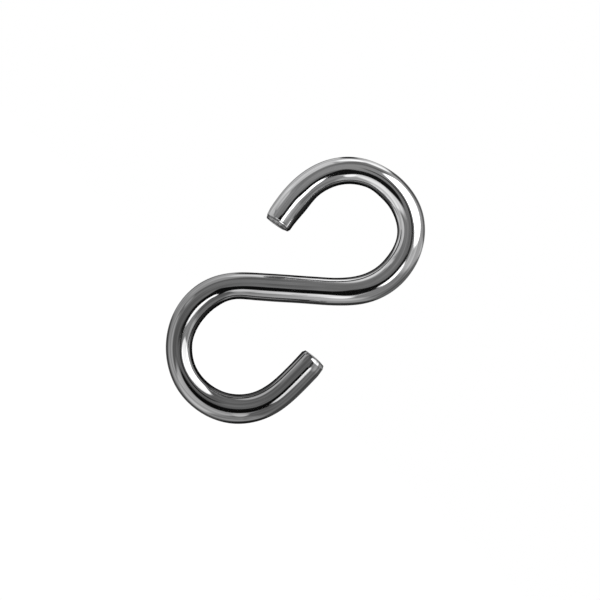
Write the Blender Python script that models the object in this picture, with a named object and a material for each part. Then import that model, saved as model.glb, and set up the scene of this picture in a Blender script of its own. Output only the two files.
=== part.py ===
"""Meat hook: one round steel bar, bent cold into an open S and cropped square at both ends.

The hook stands as it hangs. Z is the load line, from the lower loop up to the upper one. The
hook lies in the XZ plane, Y is its thickness, and the origin is the centre of its outline.
"""

from math import cos, pi, radians, sin
from typing import NamedTuple

import bpy

# Driving dimensions, in metres and degrees.
BAR_DIAMETER = 0.0080
SHANK_SLOPE = 39.3  # of the shank between the two loops, above +X


class Arm(NamedTuple):
    """Half of the bar, followed from the middle of the shank out to one end."""

    straight: float  # the straight start, half of the shank
    ease_in: float  # length over which the bend tightens
    radius: float  # of the bar's centre line around the loop
    bend: float  # the whole angle that the arm turns through, in degrees
    ease_out: float  # length over which the bend opens again
    tail: float  # the straight stretch before the end


UPPER_ARM = Arm(straight=0.0073, ease_in=0.0148, radius=0.01675, bend=240.8, ease_out=0.0209, tail=0.0)
LOWER_ARM = Arm(straight=0.0077, ease_in=0.0121, radius=0.0170, bend=229.2, ease_out=0.0065, tail=0.0099)

# The cropped end: the shear narrows the bar a little, and the edge is broken.
# Each pair is a distance back from the end face and the share of the bar's radius there.
CROPPED_END = ((0.0040, 1.0), (0.0011, 0.965), (0.0004, 0.92), (0.0, 0.80))

# Fineness of the solid.
SIDES = 24  # flats round the bar
SECTION_STEP = 0.0016  # between two sections
PATH_STEP = 0.00004  # between two steps of the path's sum

BRIGHT_STEEL = (0.60, 0.60, 0.61, 1.0)
BRIGHT_ROUGHNESS = 0.12


def clear_scene():
    for thing in list(bpy.data.objects):
        bpy.data.objects.remove(thing, do_unlink=True)


def arm_length(arm):
    """The bend turns at its full rate on the arc and at half of it, on average, on each ease."""
    arc = radians(arm.bend) * arm.radius - (arm.ease_in + arm.ease_out) / 2
    return arm.straight + arm.ease_in + arc + arm.ease_out + arm.tail


def turned(arm, length):
    """The angle turned at this distance along the arm, in radians."""
    past_straight = min(max(length - arm.straight, 0), arm.ease_in)
    on_ease_in = past_straight**2 / (2 * arm.ease_in)
    arc_start = arm.straight + arm.ease_in
    arc_end = arm_length(arm) - arm.tail - arm.ease_out
    on_arc = min(max(length - arc_start, 0), arc_end - arc_start)
    past_arc = min(max(length - arc_end, 0), arm.ease_out)
    on_ease_out = past_arc - past_arc**2 / (2 * arm.ease_out)
    return (on_ease_in + on_arc + on_ease_out) / arm.radius


def seat_distance(arm):
    """The distance along the arm to its seat, where the bar crosses the load line square to it."""
    to_level = pi - radians(SHANK_SLOPE)
    return arm.straight + arm.ease_in / 2 + to_level * arm.radius


def sections(arm):
    """(distance along the arm, radius share) of each section.

    The sections are even up to the cropped end, and two of them straddle the seat, so that one
    flat of the bar lies square across the load line there.
    """
    length = arm_length(arm)
    end = [(length - back, share) for back, share in CROPPED_END]
    first = (seat_distance(arm) - SECTION_STEP / 2) % SECTION_STEP
    count = int((end[0][0] - first) / SECTION_STEP)
    even = [(first + index * SECTION_STEP, 1.0) for index in range(count)]
    return even + end


def arm_points(arm, start_heading):
    """(x, z, radius share) of each section, from the middle of the shank outwards."""
    points = []
    x = z = walked = 0.0
    for distance, share in sections(arm):
        steps = max(1, round((distance - walked) / PATH_STEP))
        step = (distance - walked) / steps
        for index in range(steps):
            heading = start_heading + turned(arm, walked + (index + 0.5) * step)
            x += cos(heading) * step
            z += sin(heading) * step
        walked = distance
        points.append((x, z, share))
    return points


def bar_points():
    """The whole bar from the lower end to the upper one, with the outline centred on the origin."""
    slope = radians(SHANK_SLOPE)
    lower = arm_points(LOWER_ARM, slope + pi)
    upper = arm_points(UPPER_ARM, slope)
    points = lower[::-1] + upper
    middle_x = (min(point[0] for point in points) + max(point[0] for point in points)) / 2
    middle_z = (min(point[1] for point in points) + max(point[1] for point in points)) / 2
    return [(x - middle_x, z - middle_z, share) for x, z, share in points]


def polished_steel():
    material = bpy.data.materials.new("polished_steel")
    material.use_nodes = True
    shader = material.node_tree.nodes["Principled BSDF"]
    shader.inputs["Base Color"].default_value = BRIGHT_STEEL
    shader.inputs["Metallic"].default_value = 1.0
    shader.inputs["Roughness"].default_value = BRIGHT_ROUGHNESS
    material.diffuse_color = BRIGHT_STEEL
    return material


def make_hook_bar(collection):
    """The bar is drawn flat in its own XY plane and then stood up, so that +Y there becomes +Z."""
    points = bar_points()
    path = bpy.data.curves.new("hook_bar", "CURVE")
    path.dimensions = "3D"
    path.twist_mode = "Z_UP"
    path.bevel_mode = "ROUND"
    path.bevel_resolution = (SIDES - 4) // 2  # a round bevel has 4 sides, and 2 more for each step
    # The flats, not the edges between them, stand at the bar's radius.
    path.bevel_depth = BAR_DIAMETER / 2 / cos(pi / SIDES)
    path.use_fill_caps = True

    spline = path.splines.new("POLY")
    spline.points.add(len(points) - 1)
    half_a_side = pi / SIDES
    for place, (x, z, share) in zip(spline.points, points):
        place.co = (x, z, 0.0, 1.0)
        place.radius = share
        place.tilt = half_a_side
    spline.use_smooth = True

    bar = bpy.data.objects.new("hook_bar", path)
    bar.rotation_euler = (pi / 2, 0.0, 0.0)
    path.materials.append(polished_steel())
    collection.objects.link(bar)
    return bar


def main():
    clear_scene()
    meat_hook = bpy.data.collections.new("meat_hook")
    bpy.context.scene.collection.children.link(meat_hook)
    make_hook_bar(meat_hook)


main()
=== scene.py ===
"""Looks of the meat hook: a bright steel bar bent into an open S, in a plain pale studio."""

from functools import reduce
from math import pi, radians
from typing import NamedTuple

import bpy
import numpy as np
from mathutils import Matrix, Vector, noise


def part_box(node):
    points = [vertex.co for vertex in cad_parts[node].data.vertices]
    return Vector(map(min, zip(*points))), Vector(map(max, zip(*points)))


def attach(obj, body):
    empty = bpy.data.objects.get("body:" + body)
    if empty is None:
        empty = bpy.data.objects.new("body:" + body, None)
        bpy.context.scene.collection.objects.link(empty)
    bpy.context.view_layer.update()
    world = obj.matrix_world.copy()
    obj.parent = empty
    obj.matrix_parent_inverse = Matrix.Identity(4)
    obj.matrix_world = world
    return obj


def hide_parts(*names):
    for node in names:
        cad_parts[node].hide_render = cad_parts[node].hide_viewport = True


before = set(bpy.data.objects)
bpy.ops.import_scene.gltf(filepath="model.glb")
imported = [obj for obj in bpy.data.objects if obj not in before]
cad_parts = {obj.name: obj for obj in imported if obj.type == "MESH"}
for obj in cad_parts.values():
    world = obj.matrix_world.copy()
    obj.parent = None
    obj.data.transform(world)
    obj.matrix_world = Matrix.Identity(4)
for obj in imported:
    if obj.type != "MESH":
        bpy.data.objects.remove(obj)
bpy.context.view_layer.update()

hook_low, hook_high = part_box("hook_bar")

# Lengths below are in bar diameters, unless a comment says otherwise.
BAR = hook_high.y - hook_low.y  # the bar's diameter, in metres
BAR_RADIUS = 0.5
HOOK_HEIGHT = (hook_high.z - hook_low.z) / BAR
SHANK_SLOPE = radians(39.3)  # of the shank between the two loops, above +X


class Arm(NamedTuple):
    """Half of the bar, followed from the middle of the shank out to one end."""

    straight: float  # the straight start, half of the shank
    ease_in: float  # length over which the bend tightens
    radius: float  # of the bar's centre line around the loop
    bend: float  # the whole angle that the arm turns through, in degrees
    ease_out: float  # length over which the bend opens again
    tail: float  # the straight stretch before the end


UPPER_ARM = Arm(straight=0.9125, ease_in=1.85, radius=2.09375, bend=240.8, ease_out=2.6125, tail=0.0)
LOWER_ARM = Arm(straight=0.9625, ease_in=1.5125, radius=2.125, bend=229.2, ease_out=0.8125, tail=1.2375)


# ---- The bar's centre line ----


def arm_length(arm):
    """The bend turns at its full rate on the arc and at half of it, on average, on each ease."""
    arc = radians(arm.bend) * arm.radius - (arm.ease_in + arm.ease_out) / 2
    return arm.straight + arm.ease_in + arc + arm.ease_out + arm.tail


def turned(arm, length):
    """The angle turned at these distances along the arm, in radians."""
    on_ease_in = np.clip(length - arm.straight, 0, arm.ease_in) ** 2 / (2 * arm.ease_in)
    arc_start = arm.straight + arm.ease_in
    arc_end = arm_length(arm) - arm.tail - arm.ease_out
    on_arc = np.clip(length - arc_start, 0, arc_end - arc_start)
    past_arc = np.clip(length - arc_end, 0, arm.ease_out)
    on_ease_out = past_arc - past_arc**2 / (2 * arm.ease_out)
    return (on_ease_in + on_arc + on_ease_out) / arm.radius


LOWER_REACH = arm_length(LOWER_ARM)
UPPER_REACH = arm_length(UPPER_ARM)
BAR_LENGTH = LOWER_REACH + UPPER_REACH
LINE_STEPS = 40000  # of the sums that give the line's places


class CentreLine:
    """The bar's centre line, measured from its lower end, with its outline centred on the origin."""

    def __init__(self):
        self.distance = np.linspace(0, BAR_LENGTH, LINE_STEPS + 1)
        from_middle = self.distance - LOWER_REACH
        lower = turned(LOWER_ARM, np.maximum(-from_middle, 0))
        upper = turned(UPPER_ARM, np.maximum(from_middle, 0))
        self.heading = SHANK_SLOPE + lower + upper
        self.x = self.summed(np.cos(self.heading))
        self.z = self.summed(np.sin(self.heading))

    def summed(self, slope):
        """The running sum of a slope along the line, centred between its lowest and highest value."""
        step = BAR_LENGTH / LINE_STEPS
        total = np.concatenate(([0.0], np.cumsum((slope[1:] + slope[:-1]) / 2) * step))
        return total - (total.min() + total.max()) / 2

    def at(self, distance):
        """x, z and heading at this distance from the lower end."""
        return [np.interp(distance, self.distance, row) for row in (self.x, self.z, self.heading)]


# ---- The bar's shape ----

LEFT, RIGHT = 1, -1  # of the bar, going up it from the lower end and seen from the front


class CroppedEnd(NamedTuple):
    """The shape that the shear gave one end."""

    set_back: float  # of the face from the end of the centre line
    draw_in: float  # how far the outer side of the loop is drawn in, in bar radii
    skew: float  # slope of the cut, outer side longer
    nip: float  # depth of the marks that the shear's jaws left on the bar's front and back
    strip_start: float  # distance back from the end where the rolled-over strip starts
    strip_slant: float  # how much wider the strip is on the outer side
    strip_share: float  # of the bar's radius, where the strip meets the rounded edge
    edge_back: float  # length of the rounded edge along the bar
    face_share: float  # of the bar's radius, where the rounded edge meets the face
    seed: float  # place in the noise that roughens the end


LOWER_END = CroppedEnd(
    set_back=0.067,
    draw_in=0.10,
    skew=0.06,
    nip=0.0,
    strip_start=0.115,
    strip_slant=0.0,
    strip_share=0.90,
    edge_back=0.018,
    face_share=0.86,
    seed=3,
)
UPPER_END = CroppedEnd(
    set_back=0.060,
    draw_in=0.07,
    skew=0.0,
    nip=0.010,
    strip_start=0.125,
    strip_slant=0.06,
    strip_share=0.945,
    edge_back=0.075,
    face_share=0.82,
    seed=11,
)

END_REACH = 0.42  # how far back from each end its own shape goes
NIP_WIDTH = 0.080  # of the jaws' marks, along the bar
WOBBLE = 0.35  # how unevenly the strip runs round the bar, as a share of its width

FACE_DOME = 0.036  # height of the end face's middle
FACE_ROUGH = 0.012  # height of its roughness where the bar broke off
CUT_ROUGH = 0.25  # share of that height where the blade cut it
BREAK_START = -0.05  # place across the face where the cut ends and the break starts
BREAK_FADE = 0.3  # distance from there to where the break is at its roughest
RIM_FADE = 1 / 6  # share of the face's radius, in from its rim, over which the roughness grows
COARSE_GRAIN = (9, 5)  # frequency of the roughness across the face and through it
FINE_GRAIN = (25, 14)
FINE_SHARE = 0.5  # height of the fine grain as a share of the coarse grain's

UNDULATION = 0.0050  # height of the surface's slow waves
UNDULATION_ALONG = 0.9  # length of one wave along the bar
UNDULATION_ROUND = 0.6  # and round it


class Press(NamedTuple):
    """A place where the bending tools pressed the bar in, or where it bulged."""

    at: float  # distance from the lower end
    reach: float  # half length of the place
    inwards: float  # depth, negative for a bulge
    side: int  # LEFT or RIGHT


PRESSES = (
    Press(at=0.9, reach=1.2, inwards=-0.015, side=LEFT),
    Press(at=3.5, reach=1.4, inwards=-0.035, side=LEFT),
    Press(at=6.7, reach=2.2, inwards=0.070, side=LEFT),
    Press(at=10.9, reach=2.1, inwards=0.035, side=LEFT),
    Press(at=13.0, reach=2.1, inwards=0.035, side=LEFT),
    Press(at=17.0, reach=1.3, inwards=0.066, side=LEFT),
    Press(at=18.8, reach=0.8, inwards=-0.030, side=LEFT),
    Press(at=22.7, reach=0.9, inwards=-0.048, side=LEFT),
    Press(at=0.9, reach=1.3, inwards=0.033, side=RIGHT),
    Press(at=5.9, reach=1.6, inwards=0.017, side=RIGHT),
    Press(at=8.1, reach=1.3, inwards=-0.042, side=RIGHT),
    Press(at=9.75, reach=0.9, inwards=0.050, side=RIGHT),
    Press(at=14.9, reach=1.7, inwards=-0.017, side=RIGHT),
    Press(at=17.1, reach=1.6, inwards=-0.033, side=RIGHT),
    Press(at=19.4, reach=1.9, inwards=0.078, side=RIGHT),
    Press(at=21.1, reach=1.3, inwards=0.030, side=RIGHT),
)


class Dent(NamedTuple):
    """A small mark of the bending tools on the bar's front."""

    at: float  # distance from the lower end
    across: float  # from the bar's middle, in bar radii, positive to the left
    half_length: float
    half_width: float
    depth: float


DENTS = (
    Dent(at=9.3, across=-0.15, half_length=0.28, half_width=0.11, depth=0.011),
    Dent(at=13.9, across=-0.08, half_length=0.45, half_width=0.12, depth=0.011),
    Dent(at=20.6, across=0.12, half_length=0.40, half_width=0.12, depth=0.010),
)
DENT_FADE = 3  # half lengths from a dent's middle to where it has faded away


class Slant(NamedTuple):
    """A place where the bar's section was squeezed aslant, which turns the surface of its front."""

    at: float  # distance from the lower end
    reach: float  # half length of the place, whose middle half is squeezed in full
    turn: float  # of the front's surface about the bar, in degrees, positive to the left


SLANTS = (Slant(at=23.35, reach=1.25, turn=5.2),)


def smooth(value):
    """A rise from 0 to 1 that starts and ends level."""
    share = min(max(value, 0.0), 1.0)
    return share * share * (3 - 2 * share)


def press_depth(distance, side):
    """How far the bar is pressed in on this side at this distance from the lower end."""
    depth = 0.0
    for press in PRESSES:
        if press.side == side:
            depth += press.inwards * smooth(1 - abs(distance - press.at) / press.reach)
    return depth


def dent_depth(distance, angle):
    """How deep the dents are at this place. The front of the bar is at angle -90 degrees."""
    depth = 0.0
    for dent in DENTS:
        along = (distance - dent.at) / dent.half_length
        if abs(along) < DENT_FADE:
            turn = (angle + np.arccos(dent.across) + pi) % (2 * pi) - pi
            around = turn * BAR_RADIUS / dent.half_width
            depth += dent.depth * np.exp(-(along**2) - around**2)
    return depth


def slant_rise(distance, angle):
    """How far the squeezed section stands out here. It leaves the bar's outline from the front as it is."""
    rise = 0.0
    for slant in SLANTS:
        share = smooth(2 - 2 * abs(distance - slant.at) / slant.reach)
        rise += radians(slant.turn) * BAR_RADIUS / 2 * share * np.sin(2 * angle)
    return rise


def nip_depth(back, angle, end):
    """How deep the mark of the shear's jaws is at this distance back from the end."""
    across_nip = min(max((back - end.strip_start) / NIP_WIDTH, 0.0), 1.0)
    return end.nip * np.sin(pi * across_nip) ** 2 * np.sin(angle) ** 4


def undulation(distance, angle):
    """How far the surface's slow waves stand out here."""
    place = Vector((np.cos(angle), np.sin(angle), 0)) * BAR_RADIUS / UNDULATION_ROUND
    place.z = distance / UNDULATION_ALONG
    return UNDULATION * noise.noise(place)


def radius_at(distance, angle, back, end, outer):
    """The bar's radius in one direction. Angle 0 is the bar's left side, and outer is the loop's outside."""
    across = np.cos(angle)
    side = LEFT if across > 0 else RIGHT
    radius = BAR_RADIUS - press_depth(distance, side) * across**2
    toward_outside = (1 + across * outer) / 2
    radius -= end.draw_in * BAR_RADIUS * toward_outside * smooth(1 - back / END_REACH)
    radius -= nip_depth(back, angle, end)
    radius += undulation(distance, angle) + slant_rise(distance, angle)
    return radius - dent_depth(distance, angle)


def face_noise(across, thick, grain, end):
    return noise.noise(Vector((across * grain[0], thick * grain[1], end.seed)))


def face_relief(across, thick, share, end):
    """The cut face: slightly domed, smooth where the shear entered and rough where the bar broke off."""
    from_middle = share / end.face_share
    dome = FACE_DOME * (1 - from_middle**2)
    broken = smooth((across - BREAK_START) / BREAK_FADE)
    height = FACE_ROUGH * (CUT_ROUGH + (1 - CUT_ROUGH) * broken) * smooth((1 - from_middle) / RIM_FADE)
    coarse = face_noise(across, thick, COARSE_GRAIN, end)
    fine = face_noise(across, thick, FINE_GRAIN, end)
    return dome + height * (coarse + FINE_SHARE * fine)


# ---- The bar's mesh ----

SIDES = 96  # points in each ring round the bar
RING_STEP = 0.03  # between two rings of the plain bar
NIP_RINGS = 12
STRIP_RINGS = 8
EDGE_RINGS = 8
FACE_RINGS = 14
POLISHED, SHEARED = 0, 1  # the mesh's material slots


class Ring(NamedTuple):
    distance: float  # from the lower end
    share: float  # of the bar's radius
    back: float  # from the nearer end
    on_face: bool


def end_rings(end):
    """(distance back from the end, share of the radius) from the plain bar out to the face's rim."""
    nip_start = end.strip_start + NIP_WIDTH
    count = round((END_REACH - nip_start) / RING_STEP)
    rings = [(END_REACH + (nip_start - END_REACH) * step / count, 1.0) for step in range(count)]
    rings += [(nip_start - NIP_WIDTH * step / NIP_RINGS, 1.0) for step in range(NIP_RINGS)]
    for step in range(STRIP_RINGS):
        across = step / STRIP_RINGS
        back = end.strip_start + (end.edge_back - end.strip_start) * across
        rings.append((back, 1 + (end.strip_share - 1) * across))
    for step in range(EDGE_RINGS + 1):
        angle = pi / 2 * step / EDGE_RINGS
        back = end.edge_back * (1 - np.sin(angle))
        rings.append((back, end.face_share + (end.strip_share - end.face_share) * np.cos(angle)))
    return rings


def face_rings(end):
    """Shares of the radius on the end face, from next to its rim to near its middle."""
    return [end.face_share * (1 - step / FACE_RINGS) for step in range(1, FACE_RINGS)]


def all_rings():
    """The rings of the whole bar, from the middle of the lower face to the middle of the upper one."""
    start, finish = LOWER_END.set_back, BAR_LENGTH - UPPER_END.set_back
    lower_face = [Ring(start, share, 0.0, True) for share in reversed(face_rings(LOWER_END))]
    lower_end = [Ring(start + back, share, back, False) for back, share in reversed(end_rings(LOWER_END))]
    body_length = finish - start - 2 * END_REACH
    count = round(body_length / RING_STEP)
    body = [
        Ring(start + END_REACH + body_length * index / count, 1.0, END_REACH, False)
        for index in range(1, count)
    ]
    upper_end = [Ring(finish - back, share, back, False) for back, share in end_rings(UPPER_END)]
    upper_face = [Ring(finish, share, 0.0, True) for share in face_rings(UPPER_END)]
    return lower_face + lower_end + body + upper_end + upper_face


def push_out(ring, angle, across, thick, end, outer):
    """How far the shape of the end moves this point out along the bar."""
    near_end = smooth(1 - ring.back / END_REACH)
    on_strip = min(ring.back / end.strip_start, 1.0) * near_end
    wave = noise.noise(Vector((np.cos(angle), np.sin(angle), end.seed)))
    push = end.skew * across * outer * near_end
    push -= (end.strip_slant * across * outer + WOBBLE * end.strip_start * wave) * on_strip
    if ring.on_face:
        push += face_relief(across, thick, ring.share, end)
    return push


def ring_points(line, ring):
    """World points of one ring, and the same points on the bar as if it were straight."""
    lower_half = ring.distance < BAR_LENGTH / 2
    end, outer, outwards = (LOWER_END, LEFT, -1) if lower_half else (UPPER_END, RIGHT, 1)
    x, z, heading = line.at(ring.distance)
    along = Vector((np.cos(heading), 0, np.sin(heading)))
    left = Vector((-np.sin(heading), 0, np.cos(heading)))
    centre = Vector((x, 0, z))
    world, straight = [], []
    for index in range(SIDES):
        angle = 2 * pi * index / SIDES
        radius = radius_at(ring.distance, angle, ring.back, end, outer) * ring.share
        across, thick = radius * np.cos(angle), radius * np.sin(angle)
        push = push_out(ring, angle, across, thick, end, outer) * outwards
        point = centre + left * across + Vector((0, thick, 0)) + along * push
        world.append(point * BAR)
        straight.append(Vector((across, thick, ring.distance + push)))
    return world, straight


def side_faces(rings):
    """The faces between each ring and the next one, and their material slots."""
    faces, slots = [], []
    for index in range(len(rings) - 1):
        here, there = index * SIDES, (index + 1) * SIDES
        on_face = rings[index].on_face or rings[index + 1].on_face
        slots += [SHEARED if on_face else POLISHED] * SIDES
        for side in range(SIDES):
            after = (side + 1) % SIDES
            faces.append((here + side, there + side, there + after, here + after))
    return faces, slots


def store(mesh, name, kind, field, values):
    """Keeps one value for each point in the mesh, where the materials can read it."""
    attribute = mesh.attributes.new(name, kind, "POINT")
    attribute.data.foreach_set(field, np.array(values, np.float32).ravel())


def hook_mesh():
    """One closed surface: the rings, joined up, and a fan of triangles in the middle of each face."""
    line = CentreLine()
    rings = all_rings()
    world, straight = [], []
    for ring in rings:
        ring_world, ring_straight = ring_points(line, ring)
        world += ring_world
        straight += ring_straight
    backs = [ring.back for ring in rings for _ in range(SIDES)]
    faces, slots = side_faces(rings)
    for first, order in ((0, 1), ((len(rings) - 1) * SIDES, -1)):
        middle = len(world)
        for points in (world, straight):
            points.append(sum(points[first : first + SIDES], Vector()) / SIDES)
        backs.append(0.0)
        faces += [(first + side, first + (side + 1) % SIDES, middle)[::order] for side in range(SIDES)]
        slots += [SHEARED] * SIDES

    mesh = bpy.data.meshes.new("hook_bar_finish")
    mesh.from_pydata(world, [], faces)
    mesh.polygons.foreach_set("material_index", slots)
    mesh.shade_smooth()
    store(mesh, "bar_place", "FLOAT_VECTOR", "vector", straight)
    store(mesh, "from_end", "FLOAT", "value", backs)
    mesh.update()
    return mesh


# ---- Node helpers ----


class Grain(NamedTuple):
    """A noise in the steel."""

    scale: tuple  # frequency across the bar, through it and along it
    detail: int = 2
    roughness: float = 0.5


NOISE_RANGE = (0.3, 0.7)  # that most of a noise's values are in


class Nodes:
    """Adds nodes to a tree and links them."""

    def __init__(self, tree):
        self.tree = tree
        self.tree.nodes.clear()

    def add(self, kind, inputs=None, **settings):
        """A new node. Each input is given by number or name, and is a value or another node's output."""
        node = self.tree.nodes.new(kind)
        for name, value in settings.items():
            setattr(node, name, value)
        for name, value in (inputs or {}).items():
            if isinstance(value, bpy.types.NodeSocket):
                self.tree.links.new(value, node.inputs[name])
            else:
                node.inputs[name].default_value = value
        return node

    def attribute(self, name, output):
        """A value that the mesh keeps for each point."""
        return self.add("ShaderNodeAttribute", attribute_name=name).outputs[output]

    def math(self, operation, first, second=0.0):
        return self.add("ShaderNodeMath", {0: first, 1: second}, operation=operation).outputs[0]

    def total(self, *terms):
        return reduce(lambda first, second: self.math("ADD", first, second), terms)

    def product(self, *factors):
        return reduce(lambda first, second: self.math("MULTIPLY", first, second), factors)

    def vector(self, operation, first, second=(0, 0, 0)):
        node = self.add("ShaderNodeVectorMath", {0: first, 1: second}, operation=operation)
        return node.outputs["Value" if operation == "DOT_PRODUCT" else "Vector"]

    def ramp(self, value, start, end, low=0.0, high=1.0):
        """A smooth change from low to high as value goes from start to end."""
        inputs = {"Value": value, "From Min": start, "From Max": end, "To Min": low, "To Max": high}
        return self.add("ShaderNodeMapRange", inputs, interpolation_type="SMOOTHSTEP").outputs["Result"]

    def blend(self, mark, off, on):
        """A change from the value off a mark to the value on it."""
        return self.ramp(mark, 0, 1, off, on)

    def noise(self, place, grain):
        """Noise around 0.5."""
        stretched = self.vector("MULTIPLY", place, grain.scale)
        inputs = {"Vector": stretched, "Scale": 1.0, "Detail": grain.detail, "Roughness": grain.roughness}
        return self.add("ShaderNodeTexNoise", inputs).outputs["Fac"]

    def spread(self, noise_value, low, high):
        """A change from low to high over a noise's range."""
        return self.ramp(noise_value, *NOISE_RANGE, low, high)

    def grey(self, level, blueness=1.0):
        """A grey colour, whose blue is multiplied by blueness."""
        blue = self.product(level, blueness)
        return self.add("ShaderNodeCombineColor", {0: level, 1: level, 2: blue}).outputs[0]


def new_material(name):
    """A material, and its empty node tree."""
    material = bpy.data.materials.new(name)
    material.use_nodes = True
    return material, Nodes(material.node_tree)


def add_metal(nodes, inputs):
    """The shader of a metal, and the output that it goes to."""
    shader = nodes.add("ShaderNodeBsdfPrincipled", {"Metallic": 1.0, **inputs})
    nodes.add("ShaderNodeOutputMaterial", {"Surface": shader.outputs[0]})


# ---- Polished steel ----

STREAKS = Grain((9, 9, 0.18))
DRAWN_LINES = Grain((60, 60, 1.2), detail=3)
FINE_LINES = Grain((220, 220, 5))
SMUDGES = Grain((2.2, 2.2, 1.3), detail=4, roughness=0.6)
CLOUDS = Grain((1.1, 1.1, 0.6))


class Lines(NamedTuple):
    """Thin wandering lines, in patches. They run along the axis whose scale is the smallest."""

    scale: tuple  # frequency across the bar, through it and along it
    width: float  # as a change of the noise that they are a contour of
    cover: float  # more makes the patches larger


DIE_LINES = Lines(scale=(5.5, 5.5, 0.10), width=0.012, cover=0.15)
LONG_SCRATCHES = Lines(scale=(18, 18, 0.5), width=0.010, cover=0.08)
CROSS_SCRATCHES = Lines(scale=(1.3, 1.3, 7), width=0.004, cover=0.02)
PATCHES = Grain((1.7, 1.7, 0.9))
PATCH_EDGE = (0.60, 0.68)  # values of the patches' noise, for a cover of 0

# Painted shade on the inside of each bend, where the steel is also made a little rougher.
INSIDE_RANGE = (0.385, 0.415)  # from the bar's middle towards the inside, where it starts and is full
SIDE_CHANGE = (0.42 * BAR_LENGTH, 0.50 * BAR_LENGTH)  # where it goes from the bar's right to its left

# The strip that the shear rolled over looks different on the upper end only.
UPPER_HALF = (0.45 * BAR_LENGTH, 0.55 * BAR_LENGTH)  # where the upper half starts and is full
STRIP_BLEND = 0.02  # width over which the strip's surface starts
STRIP_EDGE = (0.005, 0.035)  # from the strip's edge, where its dark line of painted shade is full and where it has ended

# Painted shade: the steel's colour is darker towards the lower end, which dims the lower loop's reflections.
SHADED_REFLECTANCE_LOW = 0.50  # at the lower end
REFLECTANCE_HIGH = 0.82  # at the upper end
REFLECTANCE_CHANGE = (0.40 * BAR_LENGTH, 0.62 * BAR_LENGTH)  # where it goes from one to the other
BLUENESS = 1.006  # what its blue is multiplied by

# What each mark multiplies the reflectance by.
CLOUD_REFLECTANCE = (0.94, 1.06)
DRAWN_REFLECTANCE = (0.97, 1.03)
STREAK_REFLECTANCE = (0.72, 1.22)
STREAK_RANGE = (0.38, 0.62)  # of the noise's values
# Painted shade on the inside of the bends.
INSIDE_SHADE_REFLECTANCE = 0.21
DIE_LINE_REFLECTANCE = 0.60
STRIP_REFLECTANCE = 0.60
# Painted shade along the strip's edge.
STRIP_EDGE_SHADE_REFLECTANCE = 0.35
# Painted shade round the rim of each end.
RIM_SHADE_REFLECTANCE = 0.25
RIM_REACH = 0.07  # how far back from the end the painted shade round the rim goes

EDGE_TINT = 0.60  # reflectance of the steel seen along its surface
# Painted shade on the inside of the bends, seen along the surface.
INSIDE_SHADE_EDGE_TINT = 0.12

POLISHED_ROUGHNESS = 0.045

# What each mark adds to it.
SMUDGE_ROUGHNESS = 0.06
SMUDGE_RANGE = (0.45, 0.75)  # of the noise's values
FINE_ROUGHNESS = 0.03
FINE_RANGE = (0.4, 0.7)
SCRATCH_ROUGHNESS = 0.15
INSIDE_ROUGHNESS = 0.08
STRIP_ROUGHNESS = 0.28

# Heights in the bump, whose distance is the height of 1 in metres.
DRAWN_HEIGHT = 0.7
FINE_HEIGHT = 0.3
SCRATCH_DEPTH = 0.3
POLISHED_BUMP = {"Strength": 0.06, "Distance": 0.00004}


def thin_lines(nodes, place, lines):
    """1 on a line and 0 off it."""
    hills = nodes.noise(place, Grain(lines.scale, detail=0))
    from_contour = nodes.math("ABSOLUTE", nodes.math("SUBTRACT", hills, 0.5))
    line = nodes.ramp(from_contour, 0, lines.width, 1, 0)
    patch = nodes.noise(place, PATCHES)
    start, full = PATCH_EDGE
    return nodes.product(line, nodes.ramp(patch, start - lines.cover, full - lines.cover))


class SteelMarks:
    """The marks on the polished bar and where they are. A mark is a value from 0 to 1."""

    def __init__(self, nodes):
        place = nodes.attribute("bar_place", "Vector")
        axes = nodes.add("ShaderNodeSeparateXYZ", {0: place})
        self.along = axes.outputs["Z"]  # distance from the lower end
        self.from_end = nodes.attribute("from_end", "Fac")  # distance from the nearer end

        inner_side = nodes.ramp(self.along, *SIDE_CHANGE, RIGHT, LEFT)
        inwards = nodes.product(axes.outputs["X"], inner_side)
        # Painted shade on the inside of each bend.
        self.inside_shade = nodes.ramp(inwards, *INSIDE_RANGE)

        upper_half = nodes.ramp(self.along, *UPPER_HALF)
        from_strip = nodes.math("SUBTRACT", self.from_end, UPPER_END.strip_start)
        rolled_over = nodes.ramp(from_strip, -STRIP_BLEND, 0.0, 1, 0)
        # The dark line along the strip's edge is painted shade.
        strip_edge_shade = nodes.ramp(nodes.math("ABSOLUTE", from_strip), *STRIP_EDGE, 1, 0)
        self.rolled_over = nodes.product(rolled_over, upper_half)
        self.strip_edge_shade = nodes.product(strip_edge_shade, upper_half)

        self.streak = nodes.noise(place, STREAKS)
        self.drawn = nodes.noise(place, DRAWN_LINES)
        self.fine = nodes.noise(place, FINE_LINES)
        self.smudge = nodes.noise(place, SMUDGES)
        self.cloud = nodes.noise(place, CLOUDS)
        self.die_lines = thin_lines(nodes, place, DIE_LINES)
        long_scratches = thin_lines(nodes, place, LONG_SCRATCHES)
        cross_scratches = thin_lines(nodes, place, CROSS_SCRATCHES)
        self.scratched = nodes.math("MAXIMUM", long_scratches, cross_scratches)


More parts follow.
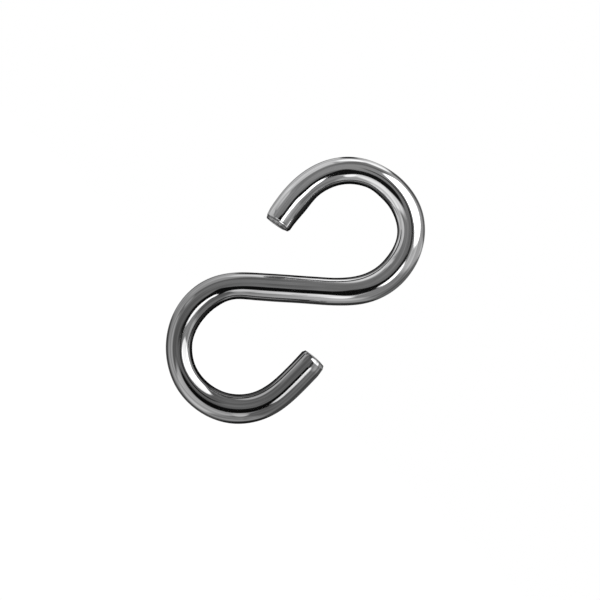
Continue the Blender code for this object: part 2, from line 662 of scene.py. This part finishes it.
def steel_reflectance(nodes, marks):
    # Painted shade here: darker towards the lower end, on the inside of the bends, along the upper strip's
    # edge and round each end's rim.
    return nodes.product(
        nodes.ramp(marks.along, *REFLECTANCE_CHANGE, SHADED_REFLECTANCE_LOW, REFLECTANCE_HIGH),
        nodes.spread(marks.cloud, *CLOUD_REFLECTANCE),
        nodes.spread(marks.drawn, *DRAWN_REFLECTANCE),
        nodes.ramp(marks.streak, *STREAK_RANGE, *STREAK_REFLECTANCE),
        nodes.blend(marks.inside_shade, 1.0, INSIDE_SHADE_REFLECTANCE),
        nodes.blend(marks.die_lines, 1.0, DIE_LINE_REFLECTANCE),
        nodes.blend(marks.rolled_over, 1.0, STRIP_REFLECTANCE),
        nodes.blend(marks.strip_edge_shade, 1.0, STRIP_EDGE_SHADE_REFLECTANCE),
        nodes.ramp(marks.from_end, 0.0, RIM_REACH, RIM_SHADE_REFLECTANCE, 1.0),
    )


def steel_roughness(nodes, marks):
    smudged = POLISHED_ROUGHNESS + SMUDGE_ROUGHNESS
    return nodes.total(
        nodes.ramp(marks.smudge, *SMUDGE_RANGE, POLISHED_ROUGHNESS, smudged),
        nodes.ramp(marks.fine, *FINE_RANGE, 0.0, FINE_ROUGHNESS),
        nodes.product(marks.scratched, SCRATCH_ROUGHNESS),
        nodes.product(marks.inside_shade, INSIDE_ROUGHNESS),
        nodes.product(marks.rolled_over, STRIP_ROUGHNESS),
    )


def steel_bump(nodes, marks):
    lines = nodes.total(nodes.product(marks.drawn, DRAWN_HEIGHT), nodes.product(marks.fine, FINE_HEIGHT))
    height = nodes.math("SUBTRACT", lines, nodes.product(marks.scratched, SCRATCH_DEPTH))
    return nodes.add("ShaderNodeBump", {"Height": height, **POLISHED_BUMP}).outputs[0]


def polished_steel():
    """Bright drawn bar: faint lines along it, handling scratches, and smudges that dull it a little, with
    painted shade towards the lower end, inside the bends, along the upper strip's edge and round the ends'
    rims.
    """
    material, nodes = new_material("polished_steel")
    marks = SteelMarks(nodes)
    add_metal(
        nodes,
        {
            "Base Color": nodes.grey(steel_reflectance(nodes, marks), BLUENESS),
            "Roughness": steel_roughness(nodes, marks),
            "Specular Tint": nodes.blend(marks.inside_shade, EDGE_TINT, INSIDE_SHADE_EDGE_TINT),
            "Normal": steel_bump(nodes, marks),
        },
    )
    return material


# ---- Sheared steel ----

BLADE_LINES = Grain((6, 90, 6), detail=3)
BREAK_GRAIN = Grain((45, 45, 45), detail=4, roughness=0.65)
BREAK_FULL = 0.2  # place across the face from where it looks fully broken
SHEARED_REFLECTANCE = (0.26, 0.38)  # between the blade's lines and on them
GRAIN_REFLECTANCE = (0.85, 1.1)  # what the grain multiplies it by
CUT_ROUGHNESS = 0.22
BREAK_ROUGHNESS = 0.42
GRAIN_ROUGHNESS = 0.1  # what the grain adds to either
BLADE_HEIGHT = 0.5  # of the blade's lines in the bump, where the grain's height is 1
SHEARED_BUMP = {"Strength": 0.3, "Distance": 0.0001}  # the distance is in metres


def sheared_steel():
    """The cut faces: bare steel with the blade's lines across it, duller where the bar broke off."""
    material, nodes = new_material("sheared_steel")
    place = nodes.attribute("bar_place", "Vector")
    across = nodes.add("ShaderNodeSeparateXYZ", {0: place}).outputs["X"]
    broken = nodes.ramp(across, BREAK_START, BREAK_FULL)
    lines = nodes.noise(place, BLADE_LINES)
    grain = nodes.noise(place, BREAK_GRAIN)

    level = nodes.product(nodes.spread(lines, *SHEARED_REFLECTANCE), nodes.spread(grain, *GRAIN_REFLECTANCE))
    roughness = nodes.blend(broken, CUT_ROUGHNESS, BREAK_ROUGHNESS)
    height = nodes.total(nodes.product(grain, broken), nodes.product(lines, BLADE_HEIGHT))
    add_metal(
        nodes,
        {
            "Base Color": nodes.grey(level),
            "Roughness": nodes.total(roughness, nodes.spread(grain, 0.0, GRAIN_ROUGHNESS)),
            "Normal": nodes.add("ShaderNodeBump", {"Height": height, **SHEARED_BUMP}).outputs[0],
        },
    )
    return material


def make_hook():
    mesh = hook_mesh()
    mesh.materials.append(polished_steel())
    mesh.materials.append(sheared_steel())
    hook = bpy.data.objects.new("hook_bar_finish", mesh)
    bpy.context.scene.collection.objects.link(hook)
    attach(hook, "root")
    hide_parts("hook_bar")


# ---- Camera ----

ROLL = radians(43.17)
IMAGE_WIDTH = 1.9285  # at the hook, in hook heights
AIM_RIGHT = 0.0173  # of the picture's centre from the hook's centre, in hook heights
AIM_DOWN = 0.0335
LENS = 250.0  # millimetres
SENSOR_WIDTH = 36.0  # millimetres
SIGHT = 20.0  # how far the camera sees, in metres

VIEW_AHEAD = Vector((0, 1, 0))
VIEW_RIGHT = Vector((np.cos(ROLL), 0, np.sin(ROLL)))
VIEW_UP = Vector((-np.sin(ROLL), 0, np.cos(ROLL)))


def make_camera():
    data = bpy.data.cameras.new("camera")
    data.lens = LENS
    data.sensor_width = SENSOR_WIDTH
    data.clip_end = SIGHT
    camera = bpy.data.objects.new("camera", data)
    bpy.context.scene.collection.objects.link(camera)
    height = HOOK_HEIGHT * BAR
    away = IMAGE_WIDTH * height * LENS / SENSOR_WIDTH
    aim = (VIEW_RIGHT * AIM_RIGHT - VIEW_UP * AIM_DOWN) * height
    turn = Matrix((VIEW_RIGHT, VIEW_UP, -VIEW_AHEAD)).transposed().to_4x4()
    camera.matrix_world = Matrix.Translation(aim - VIEW_AHEAD * away) @ turn
    bpy.context.scene.camera = camera


# ---- Studio ----


class Panel(NamedTuple):
    """A card or soft box, as a mirror ball at the hook's place would show it to the camera."""

    name: str
    x: float  # centre on the ball, whose radius is 1, to the right
    y: float  # and up
    half_width: float
    half_height: float
    turn: float  # in degrees, anticlockwise
    softness: float
    squareness: float  # 2 is an ellipse, more is boxier
    light: float


METAL = 0.62  # mean reflectance that the panels' light is balanced for
ROOM_DARK = 0.07
WALL_BEHIND = 0.45  # light of the wall straight behind the hook
WALL_EDGE = (0.86, 0.95)  # cosine of the angle from straight behind, where the wall starts and is full

# Each panel covers what the ones before it show there.
PANELS = (
    Panel("tent", 0, 0, 0.84, 0.84, 0, 0.06, 2, 0.27),
    Panel("dim_room", -0.02, 0.10, 0.60, 0.60, 0, 0.12, 2.3, 0.084),
    Panel("room_lamp", -0.10, 0.19, 0.42, 0.36, 30, 0.3, 2, 0.145),
    Panel("window_left", -0.30, 0.685, 0.60, 0.195, 28, 0.25, 2, 0.43),
    Panel("ceiling_lamp", 0.045, 0.76, 0.16, 0.065, 4, 0.3, 2, 0.75),
    Panel("window_corner", 0.33, 0.79, 0.17, 0.12, -25, 0.3, 2, 0.62),
    Panel("window_side", -0.66, 0.10, 0.18, 0.50, 0, 0.25, 2.5, 0.35),
    Panel("window_sill", -0.42, 0.37, 0.09, 0.055, -48, 0.5, 2, 0.32),
    Panel("table_glow", -0.30, -0.36, 0.24, 0.33, -50, 0.14, 2.5, 0.50),
    Panel("table_lip", -0.05, -0.31, 0.14, 0.08, 0, 0.3, 2, 0.40),
    Panel("table_right", 0.30, -0.46, 0.30, 0.24, 0, 0.3, 2, 0.14),
    Panel("table_front", -0.05, -0.64, 0.22, 0.14, 0, 0.3, 2, 0.28),
    Panel("right_fill", 0.58, -0.18, 0.34, 0.17, -10, 0.3, 2, 0.34),
    Panel("lower_right_flag", 0.55, -0.685, 0.125, 0.50, -50, 0.35, 2, 0.08),
    Panel("floor_edge_flag", 0.06, -0.90, 0.36, 0.09, 0, 0.3, 2, 0.02),
    Panel("ceiling_edge_flag", 0.03, 0.94, 0.12, 0.06, 0, 0.3, 2, 0.02),
    Panel("window_frame", 0.25, 0.60, 0.22, 0.045, 8, 0.5, 2, 0.14),
    Panel("key_flag", 0.13, 0.06, 0.045, 0.17, 22, 0.4, 2, 0.015),
    Panel("key", 0.45, 0.20, 0.30, 0.225, 103, 0.07, 2.5, 1.4),
    Panel("table_flag", 0.0, -0.150, 0.21, 0.130, 0, 0.15, 2.5, 0.004),
    Panel("spot", 0.184, -0.180, 0.075, 0.075, -44, 0.15, 2.5, 1.15),
    Panel("low_spot", 0.0, -0.40, 0.05, 0.10, 5, 0.25, 2, 0.60),
)


def paint_panel(nodes, ball, light, panel):
    """Lays one panel over the light that the studio has so far."""
    offset = nodes.vector("SUBTRACT", ball, (panel.x, panel.y, 0))
    inputs = {"Vector": offset, "Angle": -radians(panel.turn)}
    straight = nodes.add("ShaderNodeVectorRotate", inputs, rotation_type="Z_AXIS").outputs[0]
    size = (1 / panel.half_width, 1 / panel.half_height, 0)
    place = nodes.vector("ABSOLUTE", nodes.vector("MULTIPLY", straight, size))
    axes = nodes.add("ShaderNodeSeparateXYZ", {0: place})
    wide = nodes.math("POWER", axes.outputs["X"], panel.squareness)
    tall = nodes.math("POWER", axes.outputs["Y"], panel.squareness)
    edge = nodes.math("POWER", nodes.total(wide, tall), 1 / panel.squareness)
    cover = nodes.ramp(edge, 1 - panel.softness, 1 + panel.softness, 1, 0)
    inputs = {"Factor": cover, "A": light, "B": panel.light / METAL}
    return nodes.add("ShaderNodeMix", inputs, label=panel.name).outputs["Result"]


def make_world():
    """Plain white for the camera and the floor. The hook's reflections see the studio's panels."""
    world = bpy.data.worlds.new("studio")
    bpy.context.scene.world = world
    world.use_nodes = True
    nodes = Nodes(world.node_tree)
    direction = nodes.add("ShaderNodeTexCoord").outputs["Generated"]
    ball = nodes.vector("NORMALIZE", nodes.vector("SUBTRACT", direction, VIEW_AHEAD))
    right = nodes.vector("DOT_PRODUCT", ball, VIEW_RIGHT)
    up = nodes.vector("DOT_PRODUCT", ball, VIEW_UP)
    ball = nodes.add("ShaderNodeCombineXYZ", {"X": right, "Y": up}).outputs[0]

    ahead = nodes.vector("DOT_PRODUCT", direction, VIEW_AHEAD)
    light = nodes.ramp(ahead, *WALL_EDGE, ROOM_DARK / METAL, WALL_BEHIND / METAL)
    for panel in PANELS:
        light = paint_panel(nodes, ball, light, panel)

    glossy = nodes.add("ShaderNodeLightPath").outputs["Is Glossy Ray"]
    seen = nodes.add("ShaderNodeMix", {"Factor": glossy, "A": 1.0, "B": light}).outputs["Result"]
    background = nodes.add("ShaderNodeBackground", {"Color": (1, 1, 1, 1), "Strength": seen})
    nodes.add("ShaderNodeOutputWorld", {"Surface": background.outputs[0]})


FLOOR_SIZE = 400
FLOOR_WHITE = 0.86
GLANCING = (0.72, 0.95)  # Layer Weight's facing value between which the floor's painted sheen hides its shadows
# Glow of the painted sheen, an emission in place of the white studio's reflection.
PAINTED_SHEEN = 1.03


def pale_floor():
    """Pale matt sheet. Seen from above it shows soft shadows, and along its surface only a painted white
    sheen, an emission that glows in place of a reflection.
    """
    material, nodes = new_material("pale_floor")
    facing = nodes.add("ShaderNodeLayerWeight", {"Blend": 0.5}).outputs["Facing"]
    glancing = nodes.ramp(facing, *GLANCING)
    matt = nodes.add("ShaderNodeBsdfDiffuse", {"Color": (FLOOR_WHITE, FLOOR_WHITE, FLOOR_WHITE, 1)})
    painted_sheen = nodes.add("ShaderNodeEmission", {"Color": (1, 1, 1, 1), "Strength": PAINTED_SHEEN})
    mix = nodes.add("ShaderNodeMixShader", {0: glancing, 1: matt.outputs[0], 2: painted_sheen.outputs[0]})
    nodes.add("ShaderNodeOutputMaterial", {"Surface": mix.outputs[0]})
    return material


def make_floor():
    bpy.ops.mesh.primitive_plane_add(size=FLOOR_SIZE * BAR, location=(0, 0, hook_low.z))
    floor = bpy.context.object
    floor.name = "floor"
    floor.visible_glossy = False
    floor.data.materials.append(pale_floor())


KEY_LIGHT_SIZE = 60
KEY_LIGHT_PLACE = Vector((-50, -60, 90))  # from the hook's centre
KEY_LIGHT_POWER = 2.2  # watts


def make_key_light():
    """A large soft light from the upper left front, for the floor's shadow. The hook doesn't mirror it."""
    data = bpy.data.lights.new("key_light", "AREA")
    data.shape = "DISK"
    data.size = KEY_LIGHT_SIZE * BAR
    data.energy = KEY_LIGHT_POWER
    light = bpy.data.objects.new("key_light", data)
    bpy.context.scene.collection.objects.link(light)
    place = KEY_LIGHT_PLACE * BAR
    light.location = place
    light.rotation_euler = (-place).to_track_quat("-Z", "Y").to_euler()
    light.visible_glossy = False


make_hook()
make_camera()
make_world()
make_floor()
make_key_light()
bpy.context.scene.view_settings.view_transform = "Standard"
